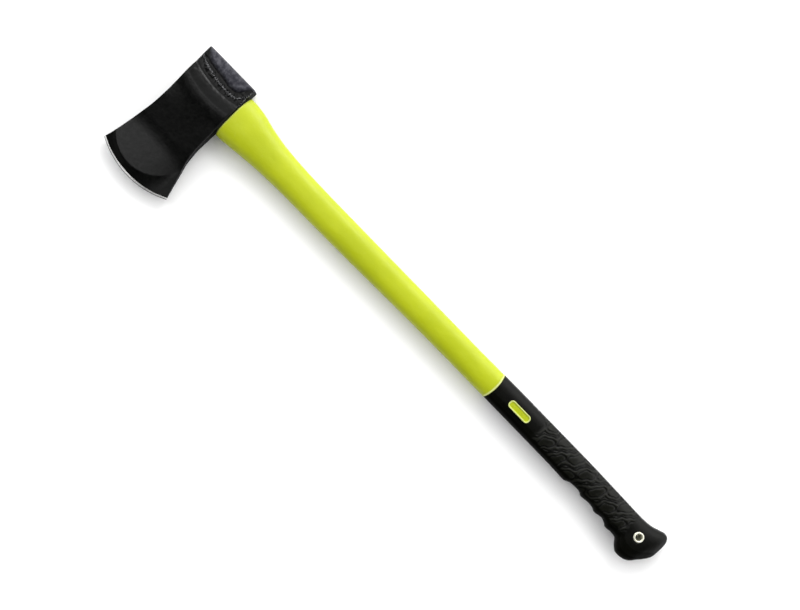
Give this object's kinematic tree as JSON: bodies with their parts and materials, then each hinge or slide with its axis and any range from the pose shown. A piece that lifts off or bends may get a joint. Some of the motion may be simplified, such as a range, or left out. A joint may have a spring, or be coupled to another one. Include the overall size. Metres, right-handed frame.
{
  "type": "fire axe",
  "caption": "Flat-headed fire axe: forged head with a curved ground edge and flat poll, flared high-visibility jacketed handle, and a shaped rubber grip with a lanyard hole in its knob.",
  "frame": {"origin": "centre of the hanging hole in the knob, at mid thickness", "axes": "+X up the handle towards the head, +Y from the handle towards the cutting edge, +Z out of the cheek along the hanging hole"},
  "size_m": [0.81, 0.1789, 0.0318],
  "materials": {
    "head_steel": "black painted forging with a ground and polished edge",
    "seal_rubber": "matt",
    "eye_resin": "cast resin",
    "fibreglass": "pultruded glass fibre",
    "hi_viz_plastic": "moulded fluorescent yellow-green plastic, satin",
    "grip_rubber": "moulded black rubber, satin",
    "eyelet_metal": "pressed and rolled tube, satin"
  },
  "bodies": {
    "root": {"axe_head": "head_steel", "eye_seal": "seal_rubber", "eye_resin": "eye_resin", "fibreglass_core": "fibreglass", "handle_jacket": "hi_viz_plastic", "rubber_grip": "grip_rubber", "hang_eyelet": "eyelet_metal"}
  },
  "joints": []
}
